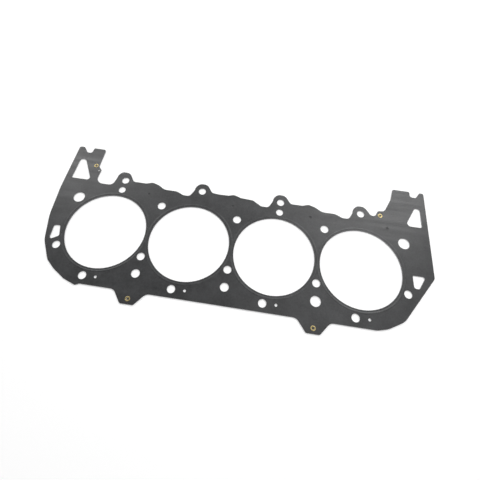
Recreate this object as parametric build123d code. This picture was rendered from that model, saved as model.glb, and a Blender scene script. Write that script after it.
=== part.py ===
from math import cos, radians, sqrt, tan
import os

from build123d import *

# Multi-layer steel head gasket for one bank of four cylinders, in millimetres.
# Three steel sheets lie on each other, and four tubular eyelets hold them together.
# The origin is the first cylinder's axis, on the face that lies on the block.
# +X runs along the cylinders, +Y towards the side with the ears, +Z to the head.
# A land is the steel left between two edges.

# Cylinder openings
bore_count = 4
bore_diameter = 115.6
bore_web = 7.34  # land between two neighbouring openings

# Sheets
active_thickness = 0.25  # each of the two rubber-coated outer sheets
core_thickness = 0.5  # the bare spacer between them

# Bead pressed out of both outer sheets round every cylinder opening
bead_width = 2.8
bead_crest_width = 1.0
bead_height = 0.2

# Head bolt holes
bolt_hole_diameter = 11.2
lower_bolt_land = 5.6  # from a cylinder opening to the holes of the lower row
left_bolt_drop = 32.5  # how far the lower row's end holes are under the cylinders' axes
right_bolt_drop = 27.5
bottom_bolt_land = 6.0  # from a cylinder opening to the hole under it
bottom_bolt_shift = -8.5
ear_bolt_land = 23.3  # from a cylinder opening to the hole in its ear
ear_shift = 1.8
upper_bolt_diameter = 12.0
upper_bolt_shifts = [7.8, 1.3, 9.0]  # one per web
upper_bolt_heights = [51.7, 47.0, 52.2]
dowel_hole_diameter = 16.8
left_dowel_land = 8.4  # from the first cylinder opening
left_dowel_height = 46.6
right_dowel_land = 13.4  # from the last cylinder opening
right_dowel_height = 47.4

# Round passages for oil and coolant
oil_hole_diameter = 10.7
oil_hole_land = 6.3
coolant_hole_diameters = [12.0, 12.0, 14.5]  # one per web
coolant_hole_rise = 25.0  # from the gasket's bottom edge
vent_diameter = 4.0
vent_land = 9.2  # from a cylinder opening to the vent under it
vent_shift = 9.8
nose_hole_diameter = 3.0
nose_hole = (47.3, -41.4)  # from the left block's outer corner

# Dimples pressed down through all three sheets, which nest in each other
dimple_diameter = 4.4
dimple_floor_diameter = 1.6
dimple_depth = 0.25
dimple_land = 8.5  # from a cylinder opening to the rim of the dimple over it
dimple_shifts = [44.6, 52.5, 48.3, 41.0]  # one per cylinder

# Eyelets that hold the sheets together: brass tubes with both ends rolled outwards
eyelet_bore = 3.2
eyelet_wall = 0.4
eyelet_flange_width = 1.4  # from the tube to the flange's rim
eyelet_flange_thickness = 0.3
eyelet_rim_thickness = 0.12
eyelet_roll = 0.7  # from the bore to the flange's crest
eyelet_clearance = 0.05  # between the tube and the sheets
eyelet_tip_land = 7.0  # from a lower tab's tip to the middle of its eyelet
left_block_eyelet = (40.0, -33.3)  # from the left block's outer corner
right_block_eyelet = (29.7, 30.7)  # from the last ear, and up from the openings' edge

# Outline
end_margin_left = 35.2  # from the first cylinder opening to the left edge
end_margin_right = 44.4
top_margin = 82.0
bottom_land = 6.0  # under the bottom bolt holes
ear_land = 7.7  # over the ears' bolt holes
shoulder_height = 28.9  # this height and the next three are up from the openings' edge
bump_height = 32.2
step_height = 22.6
valley_height = 17.6
notch_depth = 10.0  # in the top edge of both blocks
tab_depth = 16.7
tab_tip_width = 18.0
tab_root_width = 44.0
tab_shifts = {"lower_left": 0.0, "lower_right": -1.8}  # from the first and the last web

bore_radius = bore_diameter / 2
pitch = bore_diameter + bore_web
bore_places = [pitch * index for index in range(bore_count)]
web_places = [pitch * (index + 0.5) for index in range(bore_count - 1)]
last_bore = bore_places[-1]
ear_places = [place + ear_shift for place in bore_places]
bead_radius = pitch / 2  # neighbouring beads run together in the web
stack_height = 2 * active_thickness + core_thickness
bolt_hole_radius = bolt_hole_diameter / 2
eyelet_radius = eyelet_bore / 2 + eyelet_wall

ear_height = ear_bolt_land + bolt_hole_diameter + ear_land
top_edge = bore_radius + top_margin
bottom_edge = -bore_radius - bottom_bolt_land - bolt_hole_diameter - bottom_land
left_edge = -bore_radius - end_margin_left
right_edge = last_bore + bore_radius + end_margin_right
tab_edge = bottom_edge - tab_depth

# Corners of the outline and of the shaped passages: x, y and the radius there.
# x is from an ear's bolt hole, and y is up from the openings' edge.
first_ear_corners = [
    (-18.3, valley_height, 12),
    (-15.0, shoulder_height, 12),
    (-14.2, 36.5, 8),
    (-9.9, ear_height + 1.5, 7),
    (3.0, ear_height + 1.5, 10),
    (12.9, shoulder_height, 6),
]
ear_corners = [
    (-12.2, shoulder_height, 12),
    (-11.4, 35.4, 9),
    (-5.8, ear_height, 9),
    (6.0, ear_height, 10),
    (15.5, shoulder_height, 6),
]
right_of_last_ear = [(22.2, shoulder_height, 5), (26.7, 38.7, 4), (35.2, 39.2, 6)]

# x is the share of the way from one ear's foot to the next one's.
shelf_corners = [
    (0.19, shoulder_height, 12),
    (0.29, bump_height, 8),
    (0.40, shoulder_height, 12),
    (0.51, step_height, 15),
    (0.73, step_height, 20),
    (0.83, valley_height, 12),
    (0.94, valley_height, 6),
]
middle_shelf_corners = [
    (0.11, 27.8, 10),
    (0.28, 28.2, 10),
    (0.36, 30.8, 8),
    (0.48, 27.0, 6),
    (0.68, 25.9, 5),
    (0.82, valley_height, 8),
    (0.94, valley_height, 6),
]

# x and y are from a block's outer top corner.
left_block_corners = [
    (0, 0, 3),
    (8.0, 0, 2),
    (16.0, -notch_depth, 4),
    (24.0, -notch_depth, 4),
    (24.5, 0, 2),
    (44.7, 0, 4),
    (44.7, -34.0, 4),
    (50.7, -40.0, 3),
]
left_neck = (48.9, valley_height, 13)  # y is up from the openings' edge
right_block_corners = [
    (-61.4, -38.0, 6),
    (-52.4, -19.0, 20),
    (-48.4, 0, 3),
    (-22.0, 0, 2),
    (-22.0, -notch_depth, 4),
    (-12.5, -notch_depth, 4),
    (-6.0, 0, 2),
    (0, 0, 3),
]
left_corner_passage = [(9.5, -61.0, 2), (10.5, -14.5, 3), (13.9, -14.5, 3), (40.6, -61.0, 4)]
right_corner_passage = [(-8.5, -62.2, 3), (-8.5, -14.0, 5), (-33.5, -62.2, 5)]

# x is from the first or the last cylinder opening's edge, and y from the cylinders' axes.
left_side_passage = [(-18.2, -4.0, 3), (-9.2, -3.0, 2.5), (-4.2, -19.0, 3), (-16.7, -27.0, 3)]
right_side_passage = [(13.9, 0.5, 2), (32.4, 0.5, 2.5), (21.9, -18.0, 3), (14.4, -18.0, 3.5)]

# x is from the right edge, the first cylinder or the left edge, and y from the bottom edge.
lower_right_corners = [(-46.5, 16.0, 25), (-69.0, 3.5, 30), (-83.0, 0, 20)]
hook_corners = [(-8.0, 0, 2), (-13.5, -2.6, 0.8), (-31.0, 3.3, 15), (-50.0, 14.6, 20)]
lower_left_corners = [(29.5, 25.5, 20), (13.0, 53.0, 35), (3.5, 92.0, 80), (0, 140.0, 200)]
right_tip_radius = 8.0
tab_root_radius = 10.0
tab_tip_radius = 3.0


def placed(corners, x, y):
    return [(x + across, y + up, radius) for across, up, radius in corners]


def rounded_face(corners):
    # A flat face from its corners in order. Where two corners are close, they share the room.
    points = [Vector(x, y) for x, y, radius in corners]
    arcs = []
    for index, (x, y, radius) in enumerate(corners):
        back = points[index - 1] - points[index]
        ahead = points[(index + 1) % len(points)] - points[index]
        half_turn = radians(180 - back.get_angle(ahead)) / 2
        room = 0.49 * min(back.length, ahead.length)
        reach = min(radius * tan(half_turn), room)
        arc_radius = reach / tan(half_turn)
        inward = (back.normalized() + ahead.normalized()).normalized()
        start = points[index] + back.normalized() * reach
        crown = points[index] + inward * (arc_radius / cos(half_turn) - arc_radius)
        end = points[index] + ahead.normalized() * reach
        arcs.append((start, crown, end))
    edges = []
    for index, (start, crown, end) in enumerate(arcs):
        edges.append(Edge.make_line(arcs[index - 1][2], start))
        edges.append(Edge.make_three_point_arc(start, crown, end))
    return Face(Wire(edges))


def shelf(left_ear, right_ear, corners):
    # Edge between two ears: a shoulder with a bump, and a step down to a valley.
    start = left_ear + ear_corners[-1][0]
    length = right_ear + ear_corners[0][0] - start
    return [(start + share * length, bore_radius + up, radius) for share, up, radius in corners]


def upper_edge():
    corners = placed(first_ear_corners, ear_places[0], bore_radius)
    shelves = [shelf_corners, middle_shelf_corners, shelf_corners]
    for left_ear, right_ear, form in zip(ear_places, ear_places[1:], shelves):
        corners += shelf(left_ear, right_ear, form)
        corners += placed(ear_corners, right_ear, bore_radius)
    return corners + placed(right_of_last_ear, ear_places[-1], bore_radius)


def lower_edge():
    corners = [(right_edge, 0, right_tip_radius)]
    corners += placed(lower_right_corners, right_edge, bottom_edge)
    for middle in reversed(tab_places().values()):
        corners += [
            (middle + tab_root_width / 2, bottom_edge, tab_root_radius),
            (middle + tab_tip_width / 2, tab_edge, tab_tip_radius),
            (middle - tab_tip_width / 2, tab_edge, tab_tip_radius),
            (middle - tab_root_width / 2, bottom_edge, tab_root_radius),
        ]
    corners += placed(hook_corners, 0, bottom_edge)
    return corners + placed(lower_left_corners, left_edge, bottom_edge)


def outline():
    corners = placed(left_block_corners, left_edge, top_edge)
    corners += placed([left_neck], left_edge, bore_radius)
    corners += upper_edge()
    corners += placed(right_block_corners, right_edge, top_edge)
    return rounded_face(corners + lower_edge())


def tab_places():
    webs = {"lower_left": web_places[0], "lower_right": web_places[-1]}
    return {name: web + tab_shifts[name] for name, web in webs.items()}


def eyelet_places():
    places = {name: (x, tab_edge + eyelet_tip_land) for name, x in tab_places().items()}
    across, up = left_block_eyelet
    places["upper_left"] = (left_edge + across, top_edge + up)
    across, up = right_block_eyelet
    places["upper_right"] = (ear_places[-1] + across, bore_radius + up)
    return places


def beside_bore(land, radius, height):
    # How far from a cylinder's axis, along the row, a hole lies that leaves this land.
    return sqrt((bore_radius + land + radius) ** 2 - height**2)


def bolt_places():
    web_reach = bore_radius + lower_bolt_land + bolt_hole_radius
    web_drop = sqrt(web_reach**2 - (pitch / 2) ** 2)
    bottom_y = -bore_radius - bottom_bolt_land - bolt_hole_radius
    ear_y = bore_radius + ear_bolt_land + bolt_hole_radius
    left_reach = beside_bore(lower_bolt_land, bolt_hole_radius, left_bolt_drop)
    right_reach = beside_bore(lower_bolt_land, bolt_hole_radius, right_bolt_drop)
    return {
        "lower_end": [(-left_reach, -left_bolt_drop), (last_bore + right_reach, -right_bolt_drop)],
        "lower_web": [(x, -web_drop) for x in web_places],
        "bottom": [(x + bottom_bolt_shift, bottom_y) for x in bore_places],
        "ear": [(x, ear_y) for x in ear_places],
    }


def upper_bolt_places():
    webs = zip(web_places, upper_bolt_shifts, upper_bolt_heights)
    return [(x + shift, height) for x, shift, height in webs]


def dowel_places():
    radius = dowel_hole_diameter / 2
    left_reach = beside_bore(left_dowel_land, radius, left_dowel_height)
    right_reach = beside_bore(right_dowel_land, radius, right_dowel_height)
    return [(-left_reach, left_dowel_height), (last_bore + right_reach, right_dowel_height)]


def round_holes(places, diameter):
    return [Pos(x, y) * Circle(diameter / 2) for x, y in places]


def round_passages():
    oil_y = bore_radius + oil_hole_land + oil_hole_diameter / 2
    holes = round_holes([(x, oil_y) for x in ear_places[::2]], oil_hole_diameter)
    for x, diameter in zip(web_places, coolant_hole_diameters):
        holes += round_holes([(x, bottom_edge + coolant_hole_rise)], diameter)
    vent_y = -bore_radius - vent_land - vent_diameter / 2
    vents = [(x + vent_shift, vent_y) for x in bore_places]
    across, up = nose_hole
    holes += round_holes([(left_edge + across, top_edge + up)], nose_hole_diameter)
    return holes + round_holes(vents, vent_diameter)


def shaped_passages():
    outer_edge = last_bore + bore_radius
    return [
        rounded_face(placed(left_corner_passage, left_edge, top_edge)),
        rounded_face(placed(right_corner_passage, right_edge, top_edge)),
        rounded_face(placed(left_side_passage, -bore_radius, 0)),
        rounded_face(placed(right_side_passage, outer_edge, 0)),
    ]


def openings():
    holes = round_holes([(x, 0) for x in bore_places], bore_diameter)
    for places in bolt_places().values():
        holes += round_holes(places, bolt_hole_diameter)
    holes += round_holes(upper_bolt_places(), upper_bolt_diameter)
    holes += round_holes(dowel_places(), dowel_hole_diameter)
    holes += round_passages() + shaped_passages()
    return holes + round_holes(eyelet_places().values(), 2 * (eyelet_radius + eyelet_clearance))


def bead_ridges():
    # A ring round each opening that stands on z = 0. It ends in the middle of the web.
    foot = bead_width / 2
    crest = bead_crest_width / 2
    section = Polyline(
        (bead_radius - foot, 0, 0),
        (bead_radius - crest, 0, bead_height),
        (bead_radius + crest, 0, bead_height),
        (bead_radius + foot, 0, 0),
        close=True,
    )
    ring = revolve(make_face(section), Axis.Z)
    reach = 2 * bead_radius
    ridges = []
    for index, x in enumerate(bore_places):
        near = -reach if index == 0 else -pitch / 2
        far = reach if index == bore_count - 1 else pitch / 2
        slab = Pos((near + far) / 2, 0, 0) * Box(far - near, 2 * reach, 2 * reach)
        ridges.append(Pos(x, 0, 0) * (ring & slab))
    return Part() + ridges


def dimple_cones():
    # Each cone has its wide end on z = 0 and reaches down from there.
    y = bore_radius + dimple_land + dimple_diameter / 2
    cone = Cone(dimple_floor_diameter / 2, dimple_diameter / 2, dimple_depth)
    places = [(x + shift, y) for x, shift in zip(bore_places, dimple_shifts)]
    return Part() + [Pos(across, up, -dimple_depth / 2) * cone for across, up in places]


def dimpled(sheet, low, high):
    # low and high are the sheet's two faces.
    cones = dimple_cones()
    return sheet - Pos(0, 0, high) * cones + Pos(0, 0, low) * cones


def eyelet():
    # Half of the section, from the middle of the tube up to the flange. The other half mirrors it.
    inner = eyelet_bore / 2
    rim = eyelet_radius + eyelet_flange_width
    middle = stack_height / 2
    top = stack_height + eyelet_flange_thickness
    corner = eyelet_roll * (1 - cos(radians(45)))
    half = Polyline(
        (inner, 0, middle),
        (inner, 0, top - eyelet_roll),
        (inner + corner, 0, top - corner),
        (inner + eyelet_roll, 0, top),
        (rim, 0, stack_height + eyelet_rim_thickness),
        (rim, 0, stack_height),
        (eyelet_radius, 0, stack_height),
        (eyelet_radius, 0, middle),
        close=True,
    )
    upper = revolve(make_face(half), Axis.Z)
    return upper + mirror(upper, Plane.XY.offset(middle))


def build_parts():
    blank = outline()
    holes = Sketch() + openings()
    plate = extrude(blank, active_thickness, dir=(0, 0, 1))
    ridges = bead_ridges()
    # The bead stands out of the upper face and leaves the same groove under it.
    beaded = plate + Pos(0, 0, active_thickness) * ridges - ridges
    punches = extrude(holes, active_thickness + bead_height, dir=(0, 0, 1))
    layer = beaded - punches
    core = extrude(Sketch() + blank - holes, core_thickness, dir=(0, 0, 1))
    core_top = active_thickness + core_thickness
    bottom_layer = Pos(0, 0, active_thickness) * mirror(layer, Plane.XY)
    core_layer = Pos(0, 0, active_thickness) * core
    top_layer = Pos(0, 0, core_top) * layer
    parts = {
        "bottom_layer": dimpled(bottom_layer, 0, active_thickness),
        "core_layer": dimpled(core_layer, active_thickness, core_top),
        "top_layer": dimpled(top_layer, core_top, stack_height),
    }
    for name, (x, y) in eyelet_places().items():
        parts["eyelet_" + name] = Pos(x, y, 0) * eyelet()
    return parts


if __name__ == "__main__":
    os.makedirs("parts", exist_ok=True)
    for name, shape in build_parts().items():
        export_step(shape, f"parts/{name}.step")
        print(name, round(shape.volume, 1), "mm3")
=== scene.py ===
from math import cos, pi, radians, sin

import bpy
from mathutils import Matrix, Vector


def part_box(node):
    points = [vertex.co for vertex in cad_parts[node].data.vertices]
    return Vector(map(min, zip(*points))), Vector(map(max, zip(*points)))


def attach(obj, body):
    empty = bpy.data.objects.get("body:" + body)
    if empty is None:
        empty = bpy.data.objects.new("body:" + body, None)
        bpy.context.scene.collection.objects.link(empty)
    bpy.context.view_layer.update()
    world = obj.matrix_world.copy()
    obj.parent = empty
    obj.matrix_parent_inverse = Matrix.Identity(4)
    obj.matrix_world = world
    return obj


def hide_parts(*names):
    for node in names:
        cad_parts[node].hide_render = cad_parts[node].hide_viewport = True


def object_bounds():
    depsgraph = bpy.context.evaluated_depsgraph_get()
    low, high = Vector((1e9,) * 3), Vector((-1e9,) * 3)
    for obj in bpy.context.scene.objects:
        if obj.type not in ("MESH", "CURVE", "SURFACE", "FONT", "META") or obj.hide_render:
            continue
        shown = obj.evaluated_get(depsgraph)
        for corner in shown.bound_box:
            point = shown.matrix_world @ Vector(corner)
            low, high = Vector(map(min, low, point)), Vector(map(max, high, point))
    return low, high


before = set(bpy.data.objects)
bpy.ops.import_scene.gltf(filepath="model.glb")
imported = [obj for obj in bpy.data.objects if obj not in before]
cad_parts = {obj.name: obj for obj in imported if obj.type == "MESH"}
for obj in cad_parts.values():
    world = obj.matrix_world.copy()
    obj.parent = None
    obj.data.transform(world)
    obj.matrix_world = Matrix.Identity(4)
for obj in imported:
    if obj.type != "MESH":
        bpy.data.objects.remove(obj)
cadLow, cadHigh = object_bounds()
mm = 0.001
print("gasket loaded:", ", ".join(sorted(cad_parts)))


class Level:
    # What a shader node gives. Python's operators on it add Math nodes.
    def __init__(self, finish, socket):
        self.finish = finish
        self.socket = socket

    def maths(self, operation, first, second=0.0):
        return self.finish.add("ShaderNodeMath", {"operation": operation}, {0: first, 1: second})

    def __add__(self, other):
        return self.maths("ADD", self, other)

    def __radd__(self, other):
        return self.maths("ADD", other, self)

    def __sub__(self, other):
        return self.maths("SUBTRACT", self, other)

    def __rsub__(self, other):
        return self.maths("SUBTRACT", other, self)

    def __mul__(self, other):
        return self.maths("MULTIPLY", self, other)

    def __rmul__(self, other):
        return self.maths("MULTIPLY", other, self)

    def __abs__(self):
        return self.maths("ABSOLUTE", self)


class Finish:
    # The nodes of one material, or of the studio's light.
    def __init__(self, tree):
        self.tree = tree
        self.tree.nodes.clear()

    def add(self, kind, settings=None, sockets=None, output=0):
        node = self.tree.nodes.new(kind)
        for name, value in (settings or {}).items():
            setattr(node, name, value)
        for name, value in (sockets or {}).items():
            if isinstance(value, Level):
                self.tree.links.new(value.socket, node.inputs[name])
            else:
                node.inputs[name].default_value = value
        return Level(self, node.outputs[output]) if node.outputs else None

    def place(self):
        return self.add("ShaderNodeTexCoord", output="Object")

    def upward(self, vector):
        return self.add("ShaderNodeSeparateXYZ", sockets={0: vector}, output="Z")

    def noise(self, size, detail, stretch=(1, 1, 1)):
        # from -0.5 to 0.5; stretch under 1 draws the pattern out along that axis
        spot = self.add("ShaderNodeVectorMath", {"operation": "MULTIPLY"}, {0: self.place(), 1: stretch})
        sockets = {"Vector": spot, "Scale": 1 / size, "Detail": detail}
        return self.add("ShaderNodeTexNoise", sockets=sockets) - 0.5

    def between(self, level, start, end):
        # 0 up to start and 1 from end on
        return self.add("ShaderNodeMapRange", {"clamp": True}, {0: level, 1: start, 2: end})

    def blend(self, share, first, second):
        # sockets 6 and 7 and output 2 of a Mix node are its colours
        return self.add("ShaderNodeMix", {"data_type": "RGBA"}, {0: share, 6: first, 7: second}, 2)

    def shaded(self, colour, shade):
        return self.add("ShaderNodeVectorMath", {"operation": "SCALE"}, {0: colour, "Scale": shade})

    def dents(self, height, depth):
        return self.add("ShaderNodeBump", sockets={"Height": height, "Distance": depth})


def paint(name, pieces, makeSockets):
    # One material on every piece, from the sockets that makeSockets gives.
    material = bpy.data.materials.new(name)
    material.use_nodes = True
    finish = Finish(material.node_tree)
    surface = finish.add("ShaderNodeBsdfPrincipled", sockets=makeSockets(finish))
    finish.add("ShaderNodeOutputMaterial", sockets={"Surface": surface})
    for piece in pieces:
        piece.data.materials.clear()
        piece.data.materials.append(material)


def standFor(node, prefix, mesh):
    # A piece of its own in place of a node of the solid model.
    piece = bpy.data.objects.new(prefix + node, mesh)
    bpy.context.scene.collection.objects.link(piece)
    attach(piece, "root")
    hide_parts(node)
    return piece


# The left corner passage is shorter than in the solid model. Each sheet is copied, and the points
# round the passage's upper end come down and spread until they meet its two long sides again.
passageEnd = {
    "low": (-84.0 * mm, 118.0 * mm),  # a box round those points
    "high": (-74.0 * mm, 127.0 * mm),
    "corner": (-82.536 * mm, 125.3 * mm),  # upper left corner of the end in the solid model
    "newCorner": (-82.8 * mm, 116.4 * mm),
    "spread": (2.67, 3.0),
}


def shortenPassage(node):
    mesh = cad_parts[node].data.copy()
    end = passageEnd
    for vertex in mesh.vertices:
        point = vertex.co
        if all(end["low"][axis] < point[axis] < end["high"][axis] for axis in (0, 1)):
            for axis in (0, 1):
                away = (point[axis] - end["corner"][axis]) * end["spread"][axis]
                point[axis] = end["newCorner"][axis] + away
    mesh.update()
    return standFor(node, "cut_", mesh)


# The two outer sheets are rubber-coated spring steel. Their punched edges are bare.
coating = {
    "black": (0.0275, 0.0282, 0.0296, 1),
    "rubbed": (0.047, 0.048, 0.050, 1),  # where the press tool slides over a bead's crest
    "cutSteel": (0.20, 0.20, 0.205, 1),
    "roughness": 0.43,
    "crestEdge": (0.04 * mm, 0.2 * mm),  # heights over the face, from black to rubbed
    "crestRub": 0.6,
    "crestPolish": 0.10,
    "cloudSize": 30 * mm,
    "cloudTone": 1.5,
    "mottleSize": 2.2 * mm,
    "mottleTone": 1.1,
    "mottleRoughness": 0.2,
    "mottleRelief": 0.5,  # as a share of the grain's
    "streakSize": 6 * mm,
    "streakStretch": (0.05, 1, 1),  # the coil ran along the row of cylinders
    "streakRoughness": 0.25,
    "grainSize": 0.35 * mm,
    "grainTone": 1.0,
    "grainDepth": 0.022 * mm,
    "faceTop": 1.0 * mm,  # the upper sheet's face; the lower sheet's is at a height of 0
    "faceEdge": (0.3, 0.6),  # how far a surface faces up or down, from punched edge to face
    "dimpleDepth": 0.2 * mm,
    # painted shade: how much darker the coating is made in its dimples
    "dimpleTone": 0.4,
    "dimpleRelief": 0.4 * mm,  # added by shading to the depth that the sheet has there
}


def rubberCoating(finish):
    face = coating["faceTop"] / 2
    proud = abs(finish.upward(finish.place()) - face) - face
    crest = finish.between(proud, *coating["crestEdge"])
    facing = finish.upward(finish.add("ShaderNodeNewGeometry", output="True Normal"))
    flat = finish.between(abs(facing), *coating["faceEdge"])
    cutEdge = 1 - flat
    dimple = finish.between(proud, 0, -coating["dimpleDepth"]) * flat
    cloud = finish.noise(coating["cloudSize"], detail=4)
    mottle = finish.noise(coating["mottleSize"], detail=3)
    streak = finish.noise(coating["streakSize"], detail=3, stretch=coating["streakStretch"])
    grain = finish.noise(coating["grainSize"], detail=2)
    tone = 1 + cloud * coating["cloudTone"] + mottle * coating["mottleTone"]
    # Inside the dimples the coating is painted darker, as the shade that falls in a hollow.
    shade = tone + grain * coating["grainTone"] - dimple * coating["dimpleTone"]
    black = finish.blend(crest * coating["crestRub"], coating["black"], coating["rubbed"])
    sheen = streak * coating["streakRoughness"] + mottle * coating["mottleRoughness"]
    dip = dimple * (coating["dimpleRelief"] / coating["grainDepth"])
    relief = grain + mottle * coating["mottleRelief"] - dip
    return {
        "Base Color": finish.blend(cutEdge, finish.shaded(black, shade), coating["cutSteel"]),
        "Metallic": cutEdge,
        "Roughness": coating["roughness"] + sheen - crest * coating["crestPolish"],
        "Normal": finish.dents(relief, coating["grainDepth"]),
    }


outerSheets = [shortenPassage(node) for node in ("top_layer", "bottom_layer")]
paint("rubberCoating", outerSheets, rubberCoating)
print("outer sheets coated")


# The core sheet is bare, and only its punched edges show.
core = {
    "sheared": (0.42, 0.43, 0.44, 1),
    "torn": (0.26, 0.26, 0.265, 1),
    "shearedShare": 0.38,  # of the thickness, from the side that the punch came from
    "shearedRoughness": 0.3,
    "tornRoughness": 0.62,
    "borderBlur": 0.02 * mm,
    "borderWaver": 0.1 * mm,
    "borderWaverSize": 3 * mm,
    "scoreSize": 0.5 * mm,
    "scoreStretch": (1, 1, 0.05),
    "scoreDepth": 0.02 * mm,
    "scoreRoughness": 0.15,
}


def punchedSteel(finish):
    low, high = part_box("core_layer")
    border = high.z - core["shearedShare"] * (high.z - low.z)
    waver = finish.noise(core["borderWaverSize"], detail=2) * core["borderWaver"]
    height = finish.upward(finish.place()) + waver
    sheared = finish.between(height, border - core["borderBlur"], border + core["borderBlur"])
    score = finish.noise(core["scoreSize"], detail=2, stretch=core["scoreStretch"])
    polish = sheared * (core["tornRoughness"] - core["shearedRoughness"])
    return {
        "Base Color": finish.blend(sheared, core["torn"], core["sheared"]),
        "Metallic": 1.0,
        "Roughness": core["tornRoughness"] - polish + score * core["scoreRoughness"],
        "Normal": finish.dents(score, core["scoreDepth"]),
    }


paint("punchedSteel", [shortenPassage("core_layer")], punchedSteel)
print("core sheet finished")


# The eyelets are short brass tubes with both ends rolled over on the sheets.
eyelet = {
    "bore": 3.2 * mm,
    "wall": 0.4 * mm,
    "crest": 0.72 * mm,  # from the bore to the highest ring of the roll
    "rimHeight": 0.07 * mm,  # of the outer edge, over the sheet
    "sides": 72,
    "arcSteps": 9,
}


def arc(centre, across, up, start, end):
    # Points of a quarter ellipse, from angle start to angle end in degrees.
    steps = eyelet["arcSteps"]
    angles = [radians(start + (end - start) * step / steps) for step in range(steps + 1)]
    return [(centre[0] + across * cos(angle), centre[1] + up * sin(angle)) for angle in angles]


def rollSection(outer, sheetTop, top):
    # Radius and height over the middle plane, from the bore over the roll to the tube's outside.
    inner = eyelet["bore"] / 2
    crest = inner + eyelet["crest"]
    rim = sheetTop + eyelet["rimHeight"]
    mouth = arc((crest, top - eyelet["crest"]), eyelet["crest"], eyelet["crest"], 180, 90)
    brow = arc((crest, rim), outer - crest, top - rim, 90, 0)
    tube = inner + eyelet["wall"]
    return mouth + brow[1:] + [(outer, sheetTop), (tube, sheetTop)]


def turned(ring, middle):
    # Points and faces of a closed section, turned once round the upright line through middle.
    points = []
    faces = []
    for side in range(eyelet["sides"]):
        angle = 2 * pi * side / eyelet["sides"]
        points += [middle + Vector((out * cos(angle), out * sin(angle), up)) for out, up in ring]
        here = side * len(ring)
        there = (side + 1) % eyelet["sides"] * len(ring)
        for step in range(len(ring)):
            after = (step + 1) % len(ring)
            faces.append((here + step, here + after, there + after, there + step))
    return points, faces


def turnEyelet(node):
    low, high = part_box(node)
    middle = (low + high) / 2
    half = rollSection((high.x - low.x) / 2, coating["faceTop"] - middle.z, high.z - middle.z)
    points, faces = turned(half + [(out, -up) for out, up in reversed(half)], middle)
    mesh = bpy.data.meshes.new("rolled_" + node)
    mesh.from_pydata(points, [], faces)
    mesh.shade_smooth()
    return standFor(node, "rolled_", mesh)


brass = {
    "bright": (0.53, 0.428, 0.204, 1),
    "tarnished": (0.20, 0.163, 0.083, 1),
    "roughness": 0.36,
    "tarnishRoughness": 0.16,
    "patchSize": 1.3 * mm,
    "patchEdge": (-0.08, 0.22),  # of the noise, from bright to tarnished
    "scratchSize": 0.12 * mm,
    "scratchDepth": 0.006 * mm,
    "scratchRoughness": 0.1,
    "grimeTop": 0.16 * mm,  # how far up the rim from the sheet the brass takes the tarnished colour
    "sooty": (0.03, 0.026, 0.018, 1),  # painted shade inside the tube: the brass there is made dark because little light gets in
    "sootEdge": (-0.05 * mm, 0.2 * mm),  # heights over the sheet, from fully shaded to unshaded
}


def rolledBrass(finish):
    face = coating["faceTop"] / 2
    rise = abs(finish.upward(finish.place()) - face) - face
    # the rim turns to the tarnished colour low down, next to the sheet
    lowRim = 1 - finish.between(rise, 0, brass["grimeTop"])
    patch = finish.between(finish.noise(brass["patchSize"], detail=4), *brass["patchEdge"])
    tarnishedShare = finish.between(patch + lowRim, 0, 1)
    scratch = finish.noise(brass["scratchSize"], detail=3)
    # painted shade down in the tube, where little light gets in
    tubeShadeMask = 1 - finish.between(rise, *brass["sootEdge"])
    metal = finish.blend(tarnishedShare, brass["bright"], brass["tarnished"])
    dull = tarnishedShare * brass["tarnishRoughness"] + scratch * brass["scratchRoughness"]
    return {
        "Base Color": finish.blend(tubeShadeMask, metal, brass["sooty"]),
        "Metallic": 1.0,
        "Roughness": brass["roughness"] + dull,
        "Normal": finish.dents(scratch, brass["scratchDepth"]),
    }


eyeletNodes = [name for name in sorted(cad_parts) if name.startswith("eyelet_")]
eyelets = [turnEyelet(node) for node in eyeletNodes]
paint("rolledBrass", eyelets, rolledBrass)
print("eyelets turned:", len(eyelets))


# A pale floor under the gasket, near white to the eye and to anything shiny. It is dark only at the
# foot of each eyelet's tube.
floorLook = {
    "reach": 6.0,
    "colour": (0.86, 0.86, 0.86, 1),
    "shade": (0.12, 0.12, 0.12, 1),
    "shadeEdge": (1.3 * mm, 1.7 * mm),  # from the tube's axis, from fully dark to clean
    "glow": 0.2,
    "seenBy": ("Is Camera Ray", "Is Glossy Ray", "Is Transmission Ray"),
}


def footShade(finish):
    # 1 at the foot of an eyelet's tube and 0 elsewhere
    place = finish.add("ShaderNodeNewGeometry", output="Position")
    shades = []
    for node in eyeletNodes:
        low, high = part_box(node)
        foot = ((low.x + high.x) / 2, (low.y + high.y) / 2, low.z)
        ends = {0: place, 1: foot}
        away = finish.add("ShaderNodeVectorMath", {"operation": "DISTANCE"}, ends, "Value")
        shades.append(1 - finish.between(away, *floorLook["shadeEdge"]))
    return sum(shades)


def makeFloor():
    bpy.ops.mesh.primitive_plane_add(size=floorLook["reach"])
    floor = bpy.context.object
    floor.name = "floor"
    middle = (cadLow + cadHigh) / 2
    floor.location = (middle.x, middle.y, cadLow.z)
    material = bpy.data.materials.new("palePaper")
    material.use_nodes = True
    finish = Finish(material.node_tree)
    rays = [finish.add("ShaderNodeLightPath", output=ray) for ray in floorLook["seenBy"]]
    seen = finish.between(sum(rays), 0, 1)
    shade = footShade(finish)
    colour = finish.blend(shade, floorLook["colour"], floorLook["shade"])
    paper = finish.add("ShaderNodeBsdfDiffuse", sockets={"Color": colour})
    strength = seen * (1 - shade) * floorLook["glow"]
    glow = finish.add("ShaderNodeEmission", sockets={"Strength": strength})
    both = finish.add("ShaderNodeAddShader", sockets={0: paper, 1: glow})
    finish.add("ShaderNodeOutputMaterial", sockets={"Surface": both})
    floor.data.materials.append(material)


makeFloor()
print("floor laid")


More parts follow.
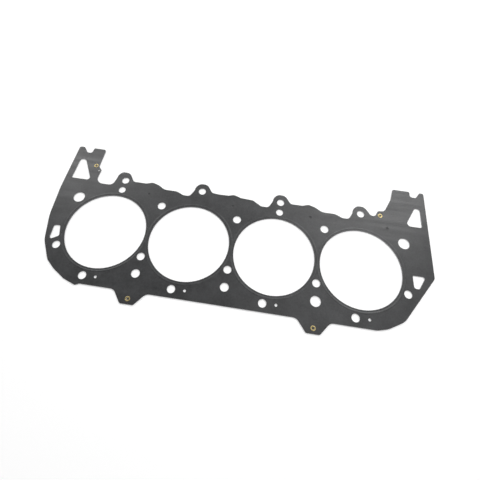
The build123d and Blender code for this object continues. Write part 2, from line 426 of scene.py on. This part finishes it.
# A room with pale walls and a dimmer ceiling, and soft lamps.
room = {
    "wall": 0.86,
    "ceiling": 0.26,
    "wallTop": 0.3,  # height of the direction, 1 straight up
    "ceilingEdge": 0.98,
}
lamps = {
    "backRight": {"place": (0.98, 1.10, 1.20), "size": (0.9, 0.7), "power": 13.2},
    "backLeft": {"place": (-1.15, 1.10, 1.20), "size": (0.9, 0.7), "power": 10.6},
    "backMiddle": {"place": (0.05, 1.20, 1.20), "size": (1.2, 0.6), "power": 3.8},
    "overRight": {"place": (0.90, 0.10, 1.25), "size": (0.9, 0.7), "power": 2.4},
    "overMiddle": {"place": (0.32, 0.00, 1.30), "size": (0.6, 0.5), "power": 1.2},
}


def lightRoom():
    world = bpy.data.worlds.new("room")
    world.use_nodes = True
    bpy.context.scene.world = world
    finish = Finish(world.node_tree)
    up = finish.upward(finish.add("ShaderNodeTexCoord", output="Generated"))
    rise = finish.between(up, room["wallTop"], room["ceilingEdge"])
    strength = rise * (room["ceiling"] - room["wall"]) + room["wall"]
    light = finish.add("ShaderNodeBackground", sockets={"Strength": strength})
    finish.add("ShaderNodeOutputWorld", sockets={"Surface": light})


def hangLamps():
    aim = (cadLow + cadHigh) / 2
    for name, look in lamps.items():
        lamp = bpy.data.lights.new(name, "AREA")
        lamp.shape = "RECTANGLE"
        lamp.size, lamp.size_y = look["size"]
        lamp.energy = look["power"]
        holder = bpy.data.objects.new(name, lamp)
        holder.location = look["place"]
        holder.rotation_euler = (aim - Vector(look["place"])).to_track_quat("-Z", "Y").to_euler()
        bpy.context.scene.collection.objects.link(holder)


lightRoom()
hangLamps()
print("room lit")


camera = {
    "place": (0.20818, -0.12696, 0.34969),
    "turn": (22.220, -1.341, 8.588),
    "lens": 19.52,
}


def placeCamera():
    lens = bpy.data.cameras.new("camera")
    lens.lens = camera["lens"]
    holder = bpy.data.objects.new("camera", lens)
    holder.location = camera["place"]
    holder.rotation_euler = [radians(angle) for angle in camera["turn"]]
    bpy.context.scene.collection.objects.link(holder)
    bpy.context.scene.camera = holder


placeCamera()
bpy.context.scene.view_settings.view_transform = "Standard"
print("camera placed")
